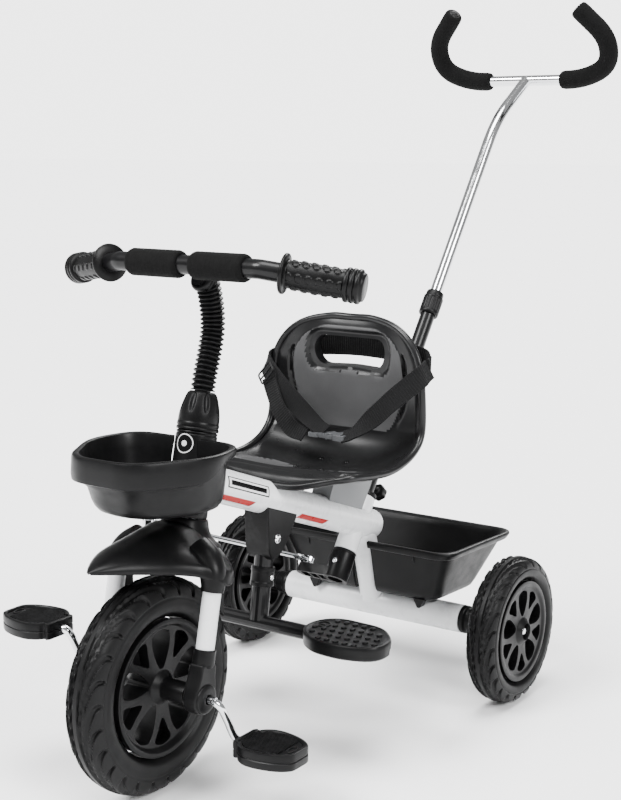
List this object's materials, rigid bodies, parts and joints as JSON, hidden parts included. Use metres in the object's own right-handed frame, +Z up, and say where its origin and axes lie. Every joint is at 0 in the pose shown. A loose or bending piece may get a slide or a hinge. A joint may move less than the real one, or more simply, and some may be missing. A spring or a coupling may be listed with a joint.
{
  "type": "children's tricycle",
  "caption": "Pedal tricycle for a toddler with front and rear baskets, belted bucket seat, folding footrest and a telescopic push handle that steers the front wheel.",
  "frame": {"origin": "on the floor, under the middle of the tricycle's whole length and width", "axes": "+X to the child's left, +Y to the rear, +Z up; the front wheel is at -Y"},
  "size_m": [0.465, 1.049, 0.9373],
  "materials": {
    "frame_paint": "satin white powder coat",
    "gusset_paint": "matte light grey paint",
    "black_steel": "semi-gloss black paint on steel tube",
    "chrome": "bright chromium plate",
    "black_plastic": "satin moulded polypropylene",
    "seat_plastic": "satin blow-moulded polyethylene with grained panels",
    "tyre": "foamed rubber with moulded tread",
    "webbing": "ribbed black polyester webbing",
    "buckle": "glossy grey and black side-release buckle",
    "foam": "matte black closed-cell foam sleeve",
    "grip": "matte black soft rubber grip"
  },
  "bodies": {
    "root": {"main_tube": "frame_paint", "head_tube": "frame_paint", "pole_socket": "frame_paint", "rear_post": "frame_paint", "rear_axle_tube": "frame_paint", "rear_axle": "chrome", "axle_cap_left": "black_plastic", "axle_cap_right": "black_plastic", "axle_nut_left": "chrome", "axle_nut_right": "chrome", "seat_gusset": "gusset_paint", "footrest_bracket": "black_steel", "footrest_rivet": "chrome", "bearing_cup": "black_plastic", "head_collar": "black_plastic", "front_basket": "black_plastic", "rear_basket": "black_plastic", "seat": "seat_plastic", "belt_left": "webbing", "belt_right": "webbing", "belt_back": "webbing", "belt_buckle": "buckle", "socket_ring": "black_plastic"},
    "fork": {"fork_crown": "frame_paint", "fork_leg_left": "frame_paint", "fork_leg_right": "frame_paint", "fork_cover_left": "black_plastic", "fork_cover_right": "black_plastic", "fender": "black_plastic", "steering_lever_front": "black_plastic", "handlebar_stem": "black_steel", "stem_bellows": "black_plastic", "handlebar": "black_steel", "bar_foam_left": "foam", "bar_foam_right": "foam", "grip_left": "grip", "grip_right": "grip"},
    "lock_nut": {"lock_nut": "black_plastic"},
    "front_wheel": {"front_tyre": "tyre", "front_rim": "black_plastic", "pedal_crank": "chrome"},
    "pedal_left": {"pedal_left": "black_plastic"},
    "pedal_right": {"pedal_right": "black_plastic"},
    "rear_wheel_left": {"rear_tyre_left": "tyre", "rear_rim_left": "black_plastic"},
    "rear_wheel_right": {"rear_tyre_right": "tyre", "rear_rim_right": "black_plastic"},
    "footrest": {"footrest_post": "black_steel", "footrest_sleeve": "black_plastic", "footplate_left": "black_plastic", "footplate_right": "black_plastic"},
    "push_pole": {"push_pole_lower": "black_steel", "steering_lever_rear": "black_plastic"},
    "pole_collar": {"pole_collar": "black_plastic"},
    "pole_knob": {"pole_knob": "black_plastic"},
    "push_handle": {"push_pole_upper": "chrome", "push_crossbar": "chrome", "push_foam_left": "foam", "push_foam_right": "foam"},
    "steering_rod": {"steering_rod": "chrome"}
  },
  "joints": [
    {"name": "steer", "type": "hinge", "parent": "root", "child": "fork", "pos_m": [0, -0.33511, 0.3], "axis": [0, 0.2368, 0.9715], "range_deg": [-30, 30]},
    {"name": "lock_nut_turn", "type": "hinge", "parent": "fork", "child": "lock_nut", "pos_m": [0, -0.33511, 0.3], "axis": [0, 0.2368, 0.9715], "range_deg": [0, 90]},
    {"name": "front_wheel_spin", "type": "hinge", "parent": "fork", "child": "front_wheel", "pos_m": [0, -0.39951, 0.125], "axis": [1, 0, 0], "continuous": true},
    {"name": "pedal_left_spin", "type": "hinge", "parent": "front_wheel", "child": "pedal_left", "pos_m": [0, -0.36945, 0.07077], "axis": [1, 0, 0], "continuous": true},
    {"name": "pedal_right_spin", "type": "hinge", "parent": "front_wheel", "child": "pedal_right", "pos_m": [0, -0.42957, 0.17923], "axis": [1, 0, 0], "continuous": true},
    {"name": "rear_wheel_left_spin", "type": "hinge", "parent": "root", "child": "rear_wheel_left", "pos_m": [0, 0.07949, 0.0968], "axis": [1, 0, 0], "continuous": true},
    {"name": "rear_wheel_right_spin", "type": "hinge", "parent": "root", "child": "rear_wheel_right", "pos_m": [0, 0.07949, 0.0968], "axis": [1, 0, 0], "continuous": true},
    {"name": "footrest_fold", "type": "hinge", "parent": "root", "child": "footrest", "pos_m": [0, -0.17781, 0.2476], "axis": [1, 0, 0], "range_deg": [0, 50]},
    {"name": "pole_turn", "type": "hinge", "parent": "root", "child": "push_pole", "pos_m": [0, 0.00199, 0.187], "axis": [0, 0.5821, 0.8131], "range_deg": [-39, 39]},
    {"name": "rod_swing", "type": "hinge", "parent": "push_pole", "child": "steering_rod", "pos_m": [-0.05, -0.01023, 0.16992], "axis": [-0.069, 0.5604, 0.8253], "range_deg": [-39, 39]},
    {"name": "pole_knob_turn", "type": "hinge", "parent": "push_pole", "child": "pole_knob", "pos_m": [0, 0.06981, 0.26266], "axis": [0, 0.8131, -0.5821], "range_deg": [0, 180]},
    {"name": "collar_twist", "type": "hinge", "parent": "push_pole", "child": "pole_collar", "pos_m": [0, 0.00199, 0.187], "axis": [0, 0.5821, 0.8131], "range_deg": [0, 60]},
    {"name": "handle_slide", "type": "slide", "parent": "push_pole", "child": "push_handle", "axis": [0, 0.5821, 0.8131], "range_m": [-0.2, 0]}
  ],
  "couplings": [
    {"joint": "pole_turn", "follows": "steer", "ratio": 1.27},
    {"joint": "rod_swing", "follows": "steer", "ratio": -1.27}
  ]
}
